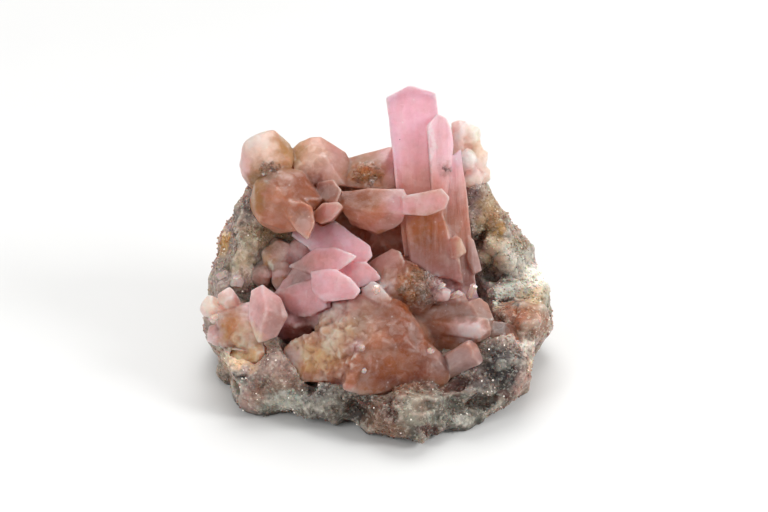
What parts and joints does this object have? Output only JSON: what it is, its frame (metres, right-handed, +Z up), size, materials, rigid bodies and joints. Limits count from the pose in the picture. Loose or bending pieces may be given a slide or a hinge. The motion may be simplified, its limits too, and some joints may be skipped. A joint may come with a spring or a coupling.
{
  "type": "calcite specimen",
  "caption": "Cabinet-size mineral specimen: pink and orange prismatic calcite crystals grown together in clusters on a lump of drusy host rock that rests on a flat underside.",
  "frame": {"origin": "centre of the flat underside, under the middle of the overall box", "axes": "+X along the specimen's longest extent, to the right seen from its show side; the show side faces -Y; +Z up"},
  "size_m": [0.077, 0.0612, 0.0593],
  "materials": {
    "host_rock": "rough mauve-grey rock with a fine sparkling druse",
    "pink_calcite": "milky translucent pink calcite with a satin surface",
    "pale_calcite": "milky translucent pale peach calcite",
    "orange_calcite": "translucent orange-pink calcite with brown iron staining inside"
  },
  "bodies": {
    "root": {"matrix": "host_rock", "tall_spires": "pink_calcite", "pale_crystals": "pale_calcite", "back_left_crystals": "orange_calcite", "pink_blades": "pink_calcite", "front_crystals": "orange_calcite", "left_edge_crystals": "pale_calcite"}
  },
  "joints": []
}
